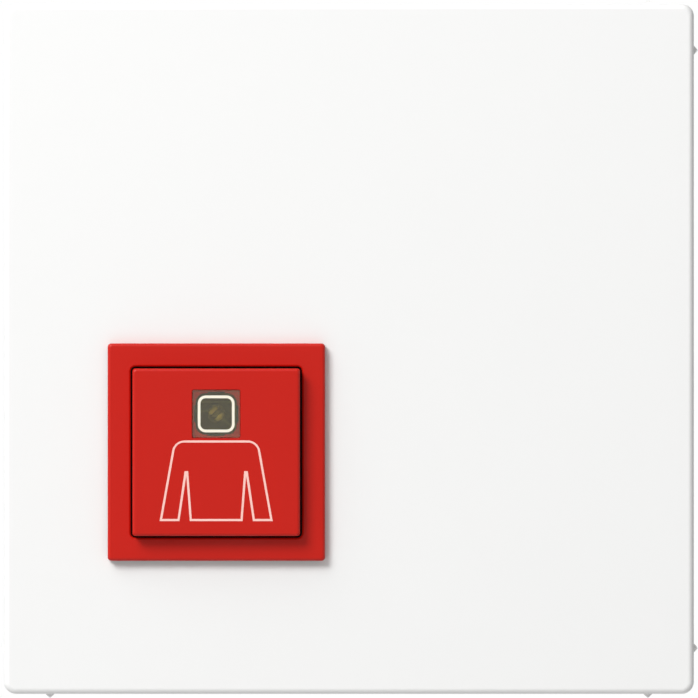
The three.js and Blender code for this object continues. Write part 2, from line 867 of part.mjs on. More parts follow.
function returnSpring(side) {
  const corners = Array.from({ length: wireSides }, (_, corner) => (corner / wireSides) * 2 * Math.PI);
  const rim = corners.map((angle) => new THREE.Vector2(Math.cos(angle), Math.sin(angle)));
  const wire = new THREE.Shape(rim.map((point) => point.multiplyScalar(springWireRadius)));
  const front = capInner + seatGap + springWireRadius;
  const back = cupInner - seatGap - springWireRadius;
  const path = new SpringPath(side * springX, springZ, front, back);
  const geometry = new THREE.ExtrudeGeometry(wire, {
    steps: springTurns * springStepsPerTurn,
    extrudePath: path,
    bevelEnabled: false,
  });
  const name = side < 0 ? "return_spring_1" : "return_spring_2";
  return meshOf(name, solidOf(geometry), springSteel);
}

// Indicator LED: clear body with its two lead frame pieces in a slot that is open at the base
function ledPocket() {
  const depth = cathodeHeight + ledFlangeHeight + ledPlateGap;
  const width = 2 * ledLeadSpread + cathodeThickness + 2 * ledPlateGap;
  return block(cathodeLength + 2 * ledPlateGap, width, onBoard - depth, onBoard + overrun);
}

function ledLens() {
  const domeSteps = 6;
  const points = [];
  for (let step = 0; step <= domeSteps; step += 1) {
    const angle = (step / domeSteps) * (Math.PI / 2);
    points.push([ledRadius * Math.sin(angle), ledTip + ledRadius * (1 - Math.cos(angle))]);
  }
  points.push([ledRadius, onBoard - ledFlangeHeight]);
  points.push([ledFlangeRadius, onBoard - ledFlangeHeight]);
  points.push([ledFlangeRadius, onBoard]);
  points.push([0, onBoard]);
  const pocket = ledPocket().rotateY(ledTurn).translate(0, 0, windowZ);
  const body = solidOf(turnedPiece(points, 0, windowZ, roundSides));
  return meshOf("led_lens", cut(body, pocket), clearPlastic);
}

function ledPlate(name, side, length, thickness, height) {
  const plateBack = onBoard - ledFlangeHeight;
  const place = side * ledLeadSpread;
  const plate = block(length, thickness, plateBack - height, plateBack, 0, place);
  const lead = rod(ledLeadRadius, plateBack - nudge, boardBack + leadTail, 0, place, wireSides);
  for (const shape of [plate, lead]) {
    shape.rotateY(ledTurn).translate(0, 0, windowZ);
  }
  return meshOf(name, join(solidOf(plate), lead), tinnedCopper);
}

function resistor() {
  const level = onBoard - resistorEndRadius;
  const endX = (resistorLength - resistorEndLength) / 2;
  let body = solidOf(crossRod(resistorRadius, resistorLength, 0, level, resistorZ, smallSides));
  for (const side of farSides) {
    const end = crossRod(resistorEndRadius, resistorEndLength, side * endX, level, resistorZ, smallSides);
    const place = [(side * resistorPitch) / 2, resistorZ];
    const lead = rod(resistorLeadRadius, level, boardBack + leadTail, ...place, wireSides);
    body = join(body, end, lead);
  }
  body = join(body, crossRod(resistorLeadRadius, resistorPitch, 0, level, resistorZ, wireSides));
  return meshOf("resistor", body, resistorPaint);
}

// Screw terminal
function terminalHeader() {
  let body = solidOf(block(plugWidth, headerHeight, behindBoard, behindBoard + headerDepth, 0, terminalZ));
  const pinBack = behindBoard + headerDepth + pinLength;
  const pinFront = boardFront - leadTail;
  body = join(body, poleOffsets().map((x) => block(pinWidth, pinWidth, pinFront, pinBack, x, terminalZ)));
  return meshOf("terminal_header", body, greenPlastic);
}

function terminalScrewPlaces() {
  return poleOffsets().map((x) => [x, plugBack - terminalScrewBack, terminalZ + plugHeight / 2]);
}

function terminalPlug() {
  let body = solidOf(block(plugWidth, plugHeight, plugFront, plugBack, 0, terminalZ));
  for (const [x, level, top] of terminalScrewPlaces()) {
    const well = new THREE.CylinderGeometry(
      terminalScrewRadius + terminalWellGap,
      terminalScrewRadius + terminalWellGap,
      2 * terminalWellDepth,
      smallSides,
    );
    body = cut(
      body,
      block(plugBoreWidth, plugBoreWidth, plugFront - overrun, plugFront + plugBoreDepth, x, terminalZ),
      rod(wireEntryRadius, plugBack - wireEntryDepth, plugBack + overrun, x, terminalZ, smallSides),
      well.rotateX(Math.PI / 2).translate(x, level, top),
    );
  }
  return meshOf("terminal_plug", body, greenPlastic);
}

function terminalScrew([x, level, top], index) {
  const radius = terminalScrewRadius;
  const screwTop = top - terminalScrewSink;
  const geometry = new THREE.CylinderGeometry(radius, radius, terminalScrewLength, smallSides);
  geometry.rotateX(Math.PI / 2).translate(x, level, screwTop - terminalScrewLength / 2);
  const slot = block(3 * radius, 2 * slotDepth, level - slotWidth / 2, level + slotWidth / 2, x, screwTop);
  return meshOf(`terminal_screw_${index + 1}`, cut(solidOf(geometry), slot), zincSteel);
}

function boardScrews() {
  const length = boardScrewGrip + boardThickness;
  return farSides.map((side, index) =>
    screw(
      `board_screw_${index + 1}`,
      [side * boardScrewX, boardScrewZ],
      boardScrewRadius,
      boardScrewHeadRadius,
      onBoard,
      -boardScrewHeadHeight,
      length,
    ),
  );
}

// Assembly: the insert's pieces are built round the button's middle and set in their place on the panel
const insert = new THREE.Group();
insert.position.set(insertX, 0, insertZ);
insert.add(
  buttonFrame(),
  callButton(),
  windowLens(),
  supportRing(),
  ...ringScrews(),
  insertHousing(),
  housingCover(),
  circuitBoard(),
  ...boardScrews(),
  ledLens(),
  ledPlate("led_cathode", 1, cathodeLength, cathodeThickness, cathodeHeight),
  ledPlate("led_anode", -1, anodeLength, anodeThickness, anodeHeight),
  resistor(),
  terminalHeader(),
  terminalPlug(),
  ...terminalScrewPlaces().map(terminalScrew),
);
for (const side of farSides) {
  insert.add(keySwitch(side), plunger(side), returnSpring(side));
}

const buttonPanel = new THREE.Group();
buttonPanel.add(coverPlate(), insert);
export default buttonPanel;
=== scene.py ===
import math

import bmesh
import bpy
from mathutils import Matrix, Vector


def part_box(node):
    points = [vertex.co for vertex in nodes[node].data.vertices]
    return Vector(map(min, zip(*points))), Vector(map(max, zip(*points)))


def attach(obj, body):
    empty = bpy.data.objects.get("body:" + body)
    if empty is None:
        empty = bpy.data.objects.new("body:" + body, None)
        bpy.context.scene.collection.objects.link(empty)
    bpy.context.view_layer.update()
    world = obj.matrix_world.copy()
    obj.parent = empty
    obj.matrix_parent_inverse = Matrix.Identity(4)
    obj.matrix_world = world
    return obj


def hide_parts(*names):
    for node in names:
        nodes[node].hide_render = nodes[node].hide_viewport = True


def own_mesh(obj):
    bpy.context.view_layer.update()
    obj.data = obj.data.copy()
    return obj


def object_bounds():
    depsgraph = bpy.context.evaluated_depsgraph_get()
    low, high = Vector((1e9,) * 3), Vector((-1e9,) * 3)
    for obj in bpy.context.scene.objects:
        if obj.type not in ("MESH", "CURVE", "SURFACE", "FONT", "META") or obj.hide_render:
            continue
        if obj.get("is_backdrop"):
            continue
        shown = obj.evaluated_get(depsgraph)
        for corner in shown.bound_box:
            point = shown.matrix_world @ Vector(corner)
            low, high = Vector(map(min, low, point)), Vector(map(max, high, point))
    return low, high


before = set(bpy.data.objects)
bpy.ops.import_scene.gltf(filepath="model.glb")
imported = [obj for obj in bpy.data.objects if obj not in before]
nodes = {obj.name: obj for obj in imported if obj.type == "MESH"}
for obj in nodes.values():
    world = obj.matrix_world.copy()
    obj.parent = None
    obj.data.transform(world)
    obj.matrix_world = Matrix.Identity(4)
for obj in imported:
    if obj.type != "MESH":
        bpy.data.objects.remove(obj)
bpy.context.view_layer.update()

# %% [markdown]
# # Emergency call button panel
# The object is a square white cover panel for a wall, with a red call button set low on its left.
# The construction is already settled: every piece stands in the frame at its real size. This lesson
# gives each piece its finish and adds what is too fine for the construction: the print on the cap,
# screw threads, copper tracks, solder and the colour bands of a resistor.

MM = 0.001
PANEL, CAP = "panel", "call_cap"

# %% [markdown]
# ## Camera
# The photograph looks straight at the panel from far away: the button's outlines stay concentric at
# every depth. A long lens does the same here. The field is set so that one pixel of the photograph
# covers the same width on the panel.

# %% Camera straight in front
PHOTO_PIXELS = 698
PIXEL_MM = 0.32895
CAMERA_DISTANCE = 4.0
SENSOR_MM = 36.0

panel_low, panel_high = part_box("cover_plate")
panel_front = panel_low.y
panel_middle = (panel_low + panel_high) / 2


def look_at(thing, target):
    direction = Vector(target) - thing.location
    thing.rotation_euler = direction.to_track_quat("-Z", "Y").to_euler()


camera_data = bpy.data.cameras.new("camera")
camera = bpy.data.objects.new("camera", camera_data)
bpy.context.collection.objects.link(camera)
camera_data.sensor_width = SENSOR_MM
camera_data.lens = SENSOR_MM * CAMERA_DISTANCE / (PHOTO_PIXELS * PIXEL_MM * MM)
camera_data.clip_end = 20
camera.location = (panel_middle.x, panel_front - CAMERA_DISTANCE, panel_middle.z)
look_at(camera, (panel_middle.x, panel_front, panel_middle.z))
bpy.context.scene.camera = camera
print("lens in mm:", round(camera_data.lens))

# %% [markdown]
# ## Light
# One soft window-like lamp stands high on the left. Its direction comes from the shadows: the red
# frame throws its shadow about three quarters of its own height to the right and a little more
# downwards. A broader, weaker lamp stands higher on the same side and draws those shadows out softly,
# and an even surround fills them.

# %% Two lamps
KEY_DIRECTION = Vector((-0.73, -1.0, 0.82)).normalized()
KEY_SIZE = 1.2
KEY_WATTS = 72
HIGH_DIRECTION = Vector((-0.6, -0.6, 1.0)).normalized()
HIGH_SIZE = 2.2
HIGH_WATTS = 42
LAMP_DISTANCE = 3.2


def lamp(name, direction, size, watts):
    """A square lamp that faces the panel from a direction."""
    data = bpy.data.lights.new(name, "AREA")
    data.size = size
    data.energy = watts
    made = bpy.data.objects.new(name, data)
    bpy.context.collection.objects.link(made)
    made.location = panel_middle + direction * LAMP_DISTANCE
    look_at(made, panel_middle)
    print(name, "at", [round(c, 2) for c in made.location])


lamp("key_lamp", KEY_DIRECTION, KEY_SIZE, KEY_WATTS)
lamp("high_lamp", HIGH_DIRECTION, HIGH_SIZE, HIGH_WATTS)

# %% [markdown]
# ## Colours and nodes
# Colours are written here as sRGB hex codes, but Blender's sockets hold linear values, so one function
# turns one into the other. A second function adds a node with its settings, values and links. The
# surround, the floor and every finish are built with these two.

# %% Colours and nodes
def srgb(code):
    """An sRGB hex colour as the linear values that Blender's sockets hold."""
    channels = [int(code[i:i + 2], 16) / 255 for i in (1, 3, 5)]
    linear = [c / 12.92 if c <= 0.04045 else ((c + 0.055) / 1.055) ** 2.4 for c in channels]
    return (*linear, 1.0)


def add(tree, kind, settings=None, numbered=None, **named):
    """Adds a node with its settings, and with values or links on its numbered and named sockets."""
    node = tree.nodes.new(kind)
    for name, value in (settings or {}).items():
        setattr(node, name, value)
    by_name = {name.replace("_", " "): value for name, value in named.items()}
    for key, value in {**(numbered or {}), **by_name}.items():
        if isinstance(value, bpy.types.NodeSocket):
            tree.links.new(value, node.inputs[key])
        else:
            node.inputs[key].default_value = value
    return node


print("middle grey in linear values:", round(srgb("#808080")[0], 3))

# %% [markdown]
# ## Surround and floor
# The background is white because the world shows white to the camera, in mirrors and through glass. It
# lights the panel more weakly, since more light would only bleach the white plastic. The floor lies far
# below. It looks pale in the same way and still takes a shadow.

# %% Surround
SURROUND = 0.32
WHITE = (1, 1, 1, 1)


def seen_share(tree, share):
    """This share for rays from the camera, from mirrors and through glass, and 0 for all others."""
    path = add(tree, "ShaderNodeLightPath").outputs
    seen = path["Is Camera Ray"]
    for other in ("Is Transmission Ray", "Is Glossy Ray"):
        seen = add(tree, "ShaderNodeMath", {"operation": "MAXIMUM"}, {0: seen, 1: path[other]}).outputs[0]
    return add(tree, "ShaderNodeMath", {"operation": "MULTIPLY"}, {0: seen, 1: share}).outputs[0]


world = bpy.data.worlds.new("surround")
world.use_nodes = True
bpy.context.scene.world = world
world_tree = world.node_tree
world_tree.nodes.clear()
lighting = add(world_tree, "ShaderNodeBackground", Color=WHITE, Strength=SURROUND)
shown = add(world_tree, "ShaderNodeBackground", Color=WHITE, Strength=1.0)
mix = add(
    world_tree, "ShaderNodeMixShader", None,
    {0: seen_share(world_tree, 1.0), 1: lighting.outputs[0], 2: shown.outputs[0]},
)
add(world_tree, "ShaderNodeOutputWorld", Surface=mix.outputs[0])
bpy.context.scene.view_settings.view_transform = "Standard"
print("world nodes:", len(world_tree.nodes))

# %% Floor
FLOOR_HALF = 3
FLOOR_DROP = 1.3
FLOOR_PALENESS = 0.75

floor_mesh = bmesh.new()
bmesh.ops.create_grid(floor_mesh, x_segments=1, y_segments=1, size=FLOOR_HALF)
bmesh.ops.translate(floor_mesh, verts=floor_mesh.verts, vec=(0, 0, panel_low.z - FLOOR_DROP))
floor_data = bpy.data.meshes.new("floor")
floor_mesh.to_mesh(floor_data)
floor_mesh.free()
floor = bpy.data.objects.new("floor", floor_data)
bpy.context.collection.objects.link(floor)
floor_paint = bpy.data.materials.new("floor_paint")
floor_paint.use_nodes = True
floor_tree = floor_paint.node_tree
floor_shader = floor_tree.nodes["Principled BSDF"]
floor_shader.inputs["Base Color"].default_value = srgb("#efefef")
floor_shader.inputs["Roughness"].default_value = 0.8
paleness = add(floor_tree, "ShaderNodeEmission", Color=WHITE, Strength=0.95)
pale = add(
    floor_tree, "ShaderNodeMixShader", None,
    {0: seen_share(floor_tree, FLOOR_PALENESS), 1: floor_shader.outputs[0], 2: paleness.outputs[0]},
)
floor_tree.links.new(pale.outputs[0], floor_tree.nodes["Material Output"].inputs["Surface"])
floor_data.materials.append(floor_paint)
floor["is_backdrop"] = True
print("floor below the panel in m:", FLOOR_DROP)

# %% [markdown]
# ## A piece from a mesh
# Three small helpers are used for every piece. The first takes a construction piece as it stands, merges
# its loose triangles and makes its flat faces whole, so that edges can be found and rounded. The second
# rounds edges, because a moulded or plated edge always catches a thin line of light. The third turns the
# finished mesh into an object: faces that meet at a small angle are shaded as one surface, and the
# object rides with the part of the button that it belongs to.

# %% Copy, soften and finish a mesh
TOUCH = 0.01 * MM


def merged_copy(node):
    """A copy of a construction piece, with its triangles merged and its flat faces whole."""
    shape = bmesh.new()
    shape.from_mesh(nodes[node].data)
    bmesh.ops.remove_doubles(shape, verts=shape.verts, dist=0.002 * MM)
    bmesh.ops.dissolve_limit(shape, angle_limit=math.radians(1), verts=shape.verts, edges=shape.edges)
    return shape


def sharp_edges(shape, level, least=50):
    """The sharp edges that lie at one level, such as the rim of an opening."""
    return [
        edge for edge in shape.edges
        if edge.is_manifold and edge.calc_face_angle() > math.radians(least)
        and all(abs(vert.co.y - level) < TOUCH for vert in edge.verts)
    ]


def soften(shape, edges, radius_mm, segments=3):
    """Rounds edges to a radius in millimetres."""
    bmesh.ops.bevel(
        shape, geom=edges, offset=radius_mm * MM, offset_type="OFFSET", affect="EDGES",
        segments=segments, profile=0.5, material=-1, clamp_overlap=True,
    )


def finish_piece(name, shape, finishes, body=PANEL, stands_for=(), smooth=35):
    """Makes an object of a mesh, in its finishes, that rides on a body."""
    shape.normal_update()
    for edge in shape.edges:
        edge.smooth = edge.is_manifold and edge.calc_face_angle() < math.radians(smooth)
    for face in shape.faces:
        face.smooth = True
    data = bpy.data.meshes.new(name)
    shape.to_mesh(data)
    shape.free()
    for finish in finishes:
        data.materials.append(finish)
    piece = bpy.data.objects.new(name, data)
    bpy.context.collection.objects.link(piece)
    even = piece.modifiers.new("even shading", "WEIGHTED_NORMAL")
    even.keep_sharp = True
    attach(piece, body)
    if stands_for:
        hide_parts(*stands_for)
    print(name, len(data.polygons), "faces")
    return piece


# %% [markdown]
# ## Finishes
# Every finish starts from one plain shader. Moulded plastic isn't perfectly smooth: its mould was spark
# eroded, which leaves a fine even grain, and its gloss wanders a little from place to place. One helper
# adds both, with the grain's width and depth in millimetres.

# %% A finish, its grain and its two tones
def new_finish(name, code, **constants):
    """A finish with this colour and these constants on its shader."""
    finish = bpy.data.materials.new(name)
    finish.use_nodes = True
    shader = finish.node_tree.nodes["Principled BSDF"]
    shader.inputs["Base Color"].default_value = srgb(code)
    for socket, value in constants.items():
        shader.inputs[socket.replace("_", " ")].default_value = value
    return finish, finish.node_tree, shader


def grain(tree, shader, grain_mm, depth_mm, rough, wander, cloud_mm=12):
    """Adds grain as bump, and a roughness that wanders. Returns the noise that it wanders by."""
    place = add(tree, "ShaderNodeTexCoord").outputs["Object"]
    fine = add(tree, "ShaderNodeTexNoise", Vector=place, Scale=1 / (grain_mm * MM), Detail=3.0)
    bump = add(tree, "ShaderNodeBump", Height=fine.outputs[0], Distance=depth_mm * MM)
    cloud = add(tree, "ShaderNodeTexNoise", Vector=place, Scale=1 / (cloud_mm * MM), Detail=2.0)
    gloss = add(
        tree, "ShaderNodeMapRange", Value=cloud.outputs[0], From_Min=0.3, From_Max=0.7,
        To_Min=rough - wander, To_Max=rough + wander,
    )
    tree.links.new(bump.outputs[0], shader.inputs["Normal"])
    tree.links.new(gloss.outputs[0], shader.inputs["Roughness"])
    return cloud.outputs[0]


def two_tones(tree, shader, share, first, second):
    """Mixes two colours by a share between 0 and 1."""
    mixed = add(tree, "ShaderNodeMix", {"data_type": "RGBA"}, {0: share, 6: srgb(first), 7: srgb(second)})
    tree.links.new(mixed.outputs[2], shader.inputs["Base Color"])


# %% [markdown]
# ### White and red plastic
# The cover panel is white ABS, spark eroded to a satin finish: it looks even, with a broad soft shine.
# The button and its frame are the same plastic in signal red. ABS has a refractive index of about 1.53.
# The grain is 0.5 mm wide here, a little coarser than the real one, so that it shows at all.

# %% White and red ABS
white_abs, tree, shader = new_finish("white_abs_satin", "#f1f1f0", IOR=1.53)
cloud = grain(tree, shader, grain_mm=0.5, depth_mm=0.004, rough=0.42, wander=0.04, cloud_mm=40)
two_tones(tree, shader, cloud, "#f2f2f1", "#f0f0ef")

red_abs, tree, shader = new_finish("red_abs_satin", "#c01505", IOR=1.53, Specular_IOR_Level=0.25)
cloud = grain(tree, shader, grain_mm=0.5, depth_mm=0.005, rough=0.4, wander=0.05, cloud_mm=14)
two_tones(tree, shader, cloud, "#c21605", "#be1404")

# %% [markdown]
# ### Clear plastic and print
# The window is clear polycarbonate, polished in its mould. Its index is 1.58. Its print is a matt white
# screen-printing ink, which lies on the plastic as a thin film.

# %% Clear window and white ink
clear_window, tree, shader = new_finish(
    "clear_polycarbonate", "#e6dcaa", IOR=1.58, Transmission_Weight=1.0, Specular_IOR_Level=0.12,
)
grain(tree, shader, grain_mm=5, depth_mm=0.004, rough=0.03, wander=0.02)

white_ink, tree, shader = new_finish("white_screen_ink", "#f6f0dc", Specular_IOR_Level=0.3)
grain(tree, shader, grain_mm=0.25, depth_mm=0.004, rough=0.5, wander=0.05)

thin_ink, tree, shader = new_finish("thin_white_ink_over_red", "#fbe0da", Specular_IOR_Level=0.3)
cloud = grain(tree, shader, grain_mm=0.25, depth_mm=0.004, rough=0.5, wander=0.05)
two_tones(tree, shader, cloud, "#f8c3b9", "#fbcfc6")

# %% [markdown]
# ### Cover panel
# The panel is one moulding: a thin front with a rim, ribs behind it, a stud in its middle and bosses for
# the screws. The construction piece has all of it already, so a copy takes the white finish as it is.
# Only the edges at the wall are still sharp, and a moulded part has a small radius there.

# %% Cover panel
REAR_EDGE = 0.3

plate = merged_copy("cover_plate")
soften(plate, sharp_edges(plate, panel_high.y), REAR_EDGE)
finish_piece("panel_moulding", plate, [white_abs], stands_for=["cover_plate"])

# %% [markdown]
# ### Red frame
# The frame holds the button and hooks into the panel. What shows is a flat square slab with softly rounded
# rims, and the light draws a line along each rim. The slab starts as one square face with round corners.
# A second square is its opening, the two are bridged, and the ring of faces is given its thickness. The
# collar and hooks behind it come from the construction piece, which is cut off behind the slab.

# %% A slab with a square opening
CAP_MIDDLE = (sum(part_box("button_frame"), Vector()) / 2) * Vector((1, 0, 1))


def verts_of(parts):
    """The vertices among the parts that an operator returns."""
    return [part for part in parts if isinstance(part, bmesh.types.BMVert)]


def edges_between(parts, verts):
    """The edges among the parts that an operator returns, where they join these vertices only."""
    edges = [part for part in parts if isinstance(part, bmesh.types.BMEdge)]
    return [edge for edge in edges if all(vert in verts for vert in edge.verts)]


def rounded_square(shape, size_mm, corner_mm, middle):
    """Adds a square face with round corners, in the front view."""
    turn = Matrix.Translation(middle) @ Matrix.Rotation(math.pi / 2, 4, "X")
    corners = bmesh.ops.create_grid(
        shape, x_segments=1, y_segments=1, size=size_mm / 2 * MM, matrix=turn,
    )["verts"]
    bmesh.ops.bevel(
        shape, geom=corners, offset=corner_mm * MM, offset_type="OFFSET", affect="VERTICES",
        segments=8, profile=0.5, material=-1,
    )


def slab(size_mm, corner_mm, hole_mm, hole_corner_mm, hole_middle, front, back):
    """A flat square slab with a square hole, between two levels."""
    shape = bmesh.new()
    for size, corner, middle in ((size_mm, corner_mm, CAP_MIDDLE), (hole_mm, hole_corner_mm, hole_middle)):
        rounded_square(shape, size, corner, middle)
    bmesh.ops.delete(shape, geom=shape.faces[:], context="FACES_ONLY")
    bmesh.ops.bridge_loops(shape, edges=shape.edges[:])
    pulled = verts_of(bmesh.ops.extrude_face_region(shape, geom=shape.faces[:])["geom"])
    bmesh.ops.translate(shape, verts=shape.verts, vec=(0, front, 0))
    bmesh.ops.translate(shape, verts=pulled, vec=(0, back - front, 0))
    bmesh.ops.recalc_face_normals(shape, faces=shape.faces)
    return shape


def within(edges, middle, half_mm):
    """Splits edges into those inside a square round a middle, and those outside it."""
    inner = [
        edge for edge in edges
        if all(max(abs(v.co.x - middle.x), abs(v.co.z - middle.z)) < half_mm * MM for v in edge.verts)
    ]
    return inner, [edge for edge in edges if edge not in inner]


def add_rear(shape, node, level):
    """Joins what a construction piece has behind a level to the shape."""
    rear = merged_copy(node)
    bmesh.ops.bisect_plane(
        rear, geom=rear.verts[:] + rear.edges[:] + rear.faces[:], plane_co=(0, level, 0),
        plane_no=(0, -1, 0), clear_outer=True,
    )
    open_rims = [edge for edge in rear.edges if edge.is_boundary]
    bmesh.ops.triangle_fill(rear, edges=open_rims, use_beauty=True, normal=(0, -1, 0))
    data = bpy.data.meshes.new(node + "_rear")
    rear.to_mesh(data)
    rear.free()
    shape.from_mesh(data)
    bpy.data.meshes.remove(data)


print("middle of the button in mm:", [round(c / MM, 1) for c in CAP_MIDDLE])

# %% Red frame
FRAME_CORNER, FRAME_EDGE, FRAME_DEPTH = 1.5, 1.1, 3.2
FRAME_OPENING, OPENING_CORNER, OPENING_EDGE = 56.3, 1.6, 0.7
OPENING_REACH = 30
FRAME_REAR = 2

frame_low, frame_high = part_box("button_frame")
frame_front = frame_low.y
frame_width = (frame_high.x - frame_low.x) / MM
surround = slab(
    frame_width, FRAME_CORNER, FRAME_OPENING, OPENING_CORNER, CAP_MIDDLE,
    frame_front, frame_front + FRAME_DEPTH * MM,
)
outer_rim = within(sharp_edges(surround, frame_front), CAP_MIDDLE, OPENING_REACH)[1]
soften(surround, outer_rim, FRAME_EDGE, segments=5)
opening_rim = within(sharp_edges(surround, frame_front), CAP_MIDDLE, OPENING_REACH)[0]
soften(surround, opening_rim, OPENING_EDGE, segments=4)
add_rear(surround, "button_frame", frame_front + FRAME_REAR * MM)
finish_piece("frame_moulding", surround, [red_abs], stands_for=["button_frame"])

# %% [markdown]
# ### Call button
# The button is a hollow cap that hinges at its top. Its face is a slab like the frame's, with rounder
# edges, and the hole in it is the seat of the window. The walls, ribs, hooks and latch arms behind the
# face come from the construction piece. The opening in the ledge behind the window is widened a little,
# because more of the inside shows there.

# %% Call button
CAP_SIZE, CAP_CORNER, CAP_EDGE, CAP_SKIN = 55, 1.3, 1.0, 1.75
CAP_REAR = 1.1
WINDOW_ABOVE = 12.6
WINDOW_RECESS, WINDOW_CORNER, WINDOW_EDGE = 15.9, 0.6, 0.15
WINDOW_REACH = 9
LEDGE_REACH = 6.4
LEDGE_WIDENING = 1.088

cap_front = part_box("call_button")[0].y
lens_low, lens_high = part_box("window_lens")
window_middle = Vector(((lens_low.x + lens_high.x) / 2, 0, CAP_MIDDLE.z + WINDOW_ABOVE * MM))
cap = slab(
    CAP_SIZE, CAP_CORNER, WINDOW_RECESS, WINDOW_CORNER, window_middle,
    cap_front, cap_front + CAP_SKIN * MM,
)
outer_rim = within(sharp_edges(cap, cap_front), window_middle, WINDOW_REACH)[1]
soften(cap, outer_rim, CAP_EDGE, segments=5)
window_rim = within(sharp_edges(cap, cap_front), window_middle, WINDOW_REACH)[0]
soften(cap, window_rim, WINDOW_EDGE, segments=2)
add_rear(cap, "call_button", cap_front + CAP_REAR * MM)
ledge = [
    vert for vert in cap.verts
    if max(abs(vert.co.x - window_middle.x), abs(vert.co.z - window_middle.z)) < LEDGE_REACH * MM
]
bmesh.ops.scale(
    cap, verts=ledge, vec=(LEDGE_WIDENING, 1, LEDGE_WIDENING), space=Matrix.Translation(-window_middle),
)
finish_piece("cap_moulding", cap, [red_abs], body=CAP, stands_for=["call_button"])

# %% [markdown]
# ### Window lens
# The lens is a flat clear slab with clips that snap behind a ledge. Its front edge is broken by a tiny
# radius, which shows as a bright line round the window.

# %% Window lens
LENS_EDGE = 0.12

lens = merged_copy("window_lens")
soften(lens, sharp_edges(lens, lens_low.y), LENS_EDGE)
finish_piece("window_pane", lens, [clear_window], body=CAP, stands_for=["window_lens"])

# %% [markdown]
# ### Print on the window
# A white line with round corners is printed round the lamp. It starts as one square face whose corners
# are rounded. An inset of the line's width makes the line, and a very thin extrusion makes it ink.

# %% Printed ring
RING_SIZE = 12.1
RING_CORNER = 2.6
RING_LINE = 0.9
INK = 0.03


def print_film(shape, level):
    """Gives flat faces the thickness of ink, with their back at this level."""
    raised = verts_of(bmesh.ops.extrude_face_region(shape, geom=shape.faces[:])["geom"])
    bmesh.ops.translate(shape, verts=raised, vec=(0, -INK * MM, 0))
    bmesh.ops.translate(shape, verts=shape.verts, vec=(0, level, 0))
    bmesh.ops.recalc_face_normals(shape, faces=shape.faces)


ring = bmesh.new()
rounded_square(ring, RING_SIZE, RING_CORNER, window_middle)
line_faces = bmesh.ops.inset_region(
    ring, faces=ring.faces[:], thickness=RING_LINE * MM, use_even_offset=True, use_boundary=True,
)["faces"]
inside = [face for face in ring.faces if face not in line_faces]
bmesh.ops.delete(ring, geom=inside, context="FACES")
print_film(ring, lens_low.y)
finish_piece("window_print", ring, [white_ink], body=CAP)

# %% [markdown]
# ### Print on the button
# The usual sign for a call to staff is printed below the window: shoulders, two arms and a body, drawn as
# one white line. The line's outer and inner outlines are two faces with rounded shoulders. Their faces
# are then removed, and the space between the two outlines is filled.

# %% Printed figure
HALF_OUTER = [(13.83, 3.89), (18.57, -22.59), (12.06, -22.59), (9.82, -7.7), (8.66, -22.59)]
HALF_INNER = [
    (13.24, 3.19), (17.73, -21.89), (12.67, -21.89), (10.37, -6.2), (9.19, -6.2), (8.01, -21.89),
]
SHOULDER_OUTER = 3.4
SHOULDER_INNER = 2.6


def outline(shape, half, shoulder):
    """A symmetric flat face from the points of its right half, with its shoulders rounded."""
    left = [(-x, z) for x, z in reversed(half)]
    corners = [shape.verts.new((x * MM, 0, z * MM)) for x, z in half + left]
    shape.faces.new(corners)
    bmesh.ops.bevel(
        shape, geom=[corners[0], corners[-1]], offset=shoulder * MM, offset_type="OFFSET",
        affect="VERTICES", segments=8, profile=0.5, material=-1,
    )


figure = bmesh.new()
outline(figure, HALF_OUTER, SHOULDER_OUTER)
outline(figure, HALF_INNER, SHOULDER_INNER)
bmesh.ops.delete(figure, geom=figure.faces[:], context="FACES_ONLY")
bmesh.ops.triangle_fill(figure, edges=figure.edges[:], use_beauty=True, normal=(0, -1, 0))
print_film(figure, cap_front)
bmesh.ops.translate(figure, verts=figure.verts, vec=CAP_MIDDLE)
finish_piece("button_print", figure, [thin_ink], body=CAP)

# %% [markdown]
# ## Behind the button
# The rest is seen through the window, through the gap or from behind. The grey insert is nylon with glass
# fibre: dull, with short pale fibres in its skin. Screws and the support ring are zinc plated, with the
# cloudy look of thin plating. The ring's zinc is painted near black as painted shade, so that it doesn't
# shine in the gap, which lies in deep shade.

# %% Finishes of the insert
grey_nylon, tree, shader = new_finish("grey_glass_nylon", "#3d4043", IOR=1.53)
cloud = grain(tree, shader, grain_mm=0.35, depth_mm=0.01, rough=0.58, wander=0.08, cloud_mm=6)
two_tones(tree, shader, cloud, "#36393c", "#45484b")

zinc, tree, shader = new_finish("zinc_plated_steel", "#b9bcc0", Metallic=1.0)
cloud = grain(tree, shader, grain_mm=0.6, depth_mm=0.004, rough=0.34, wander=0.1, cloud_mm=2)
two_tones(tree, shader, cloud, "#aeb2b8", "#c6c7c6")

# Painted shade: the ring's zinc is made near black so that the gap round the button reads as shaded.
shade_darkened_zinc, tree, shader = new_finish("zinc_darkened_as_painted_shade", "#2a2b2d", Metallic=1.0)
cloud = grain(tree, shader, grain_mm=0.8, depth_mm=0.006, rough=0.48, wander=0.08, cloud_mm=9)
two_tones(tree, shader, cloud, "#232426", "#343536")

spring_wire, tree, shader = new_finish("drawn_spring_wire", "#8e9195", Metallic=1.0)
grain(tree, shader, grain_mm=0.12, depth_mm=0.004, rough=0.28, wander=0.06, cloud_mm=0.8)

tin, tree, shader = new_finish("tin_plated_copper", "#d9d4b4", Metallic=1.0)
grain(tree, shader, grain_mm=0.3, depth_mm=0.006, rough=0.3, wander=0.08, cloud_mm=1)

solder, tree, shader = new_finish("solder", "#c3c5c6", Metallic=1.0)
grain(tree, shader, grain_mm=0.25, depth_mm=0.01, rough=0.26, wander=0.08, cloud_mm=0.8)

black_plastic, tree, shader = new_finish("black_moulded_polyester", "#1b1c1e", IOR=1.57)
grain(tree, shader, grain_mm=0.3, depth_mm=0.008, rough=0.45, wander=0.08, cloud_mm=3)

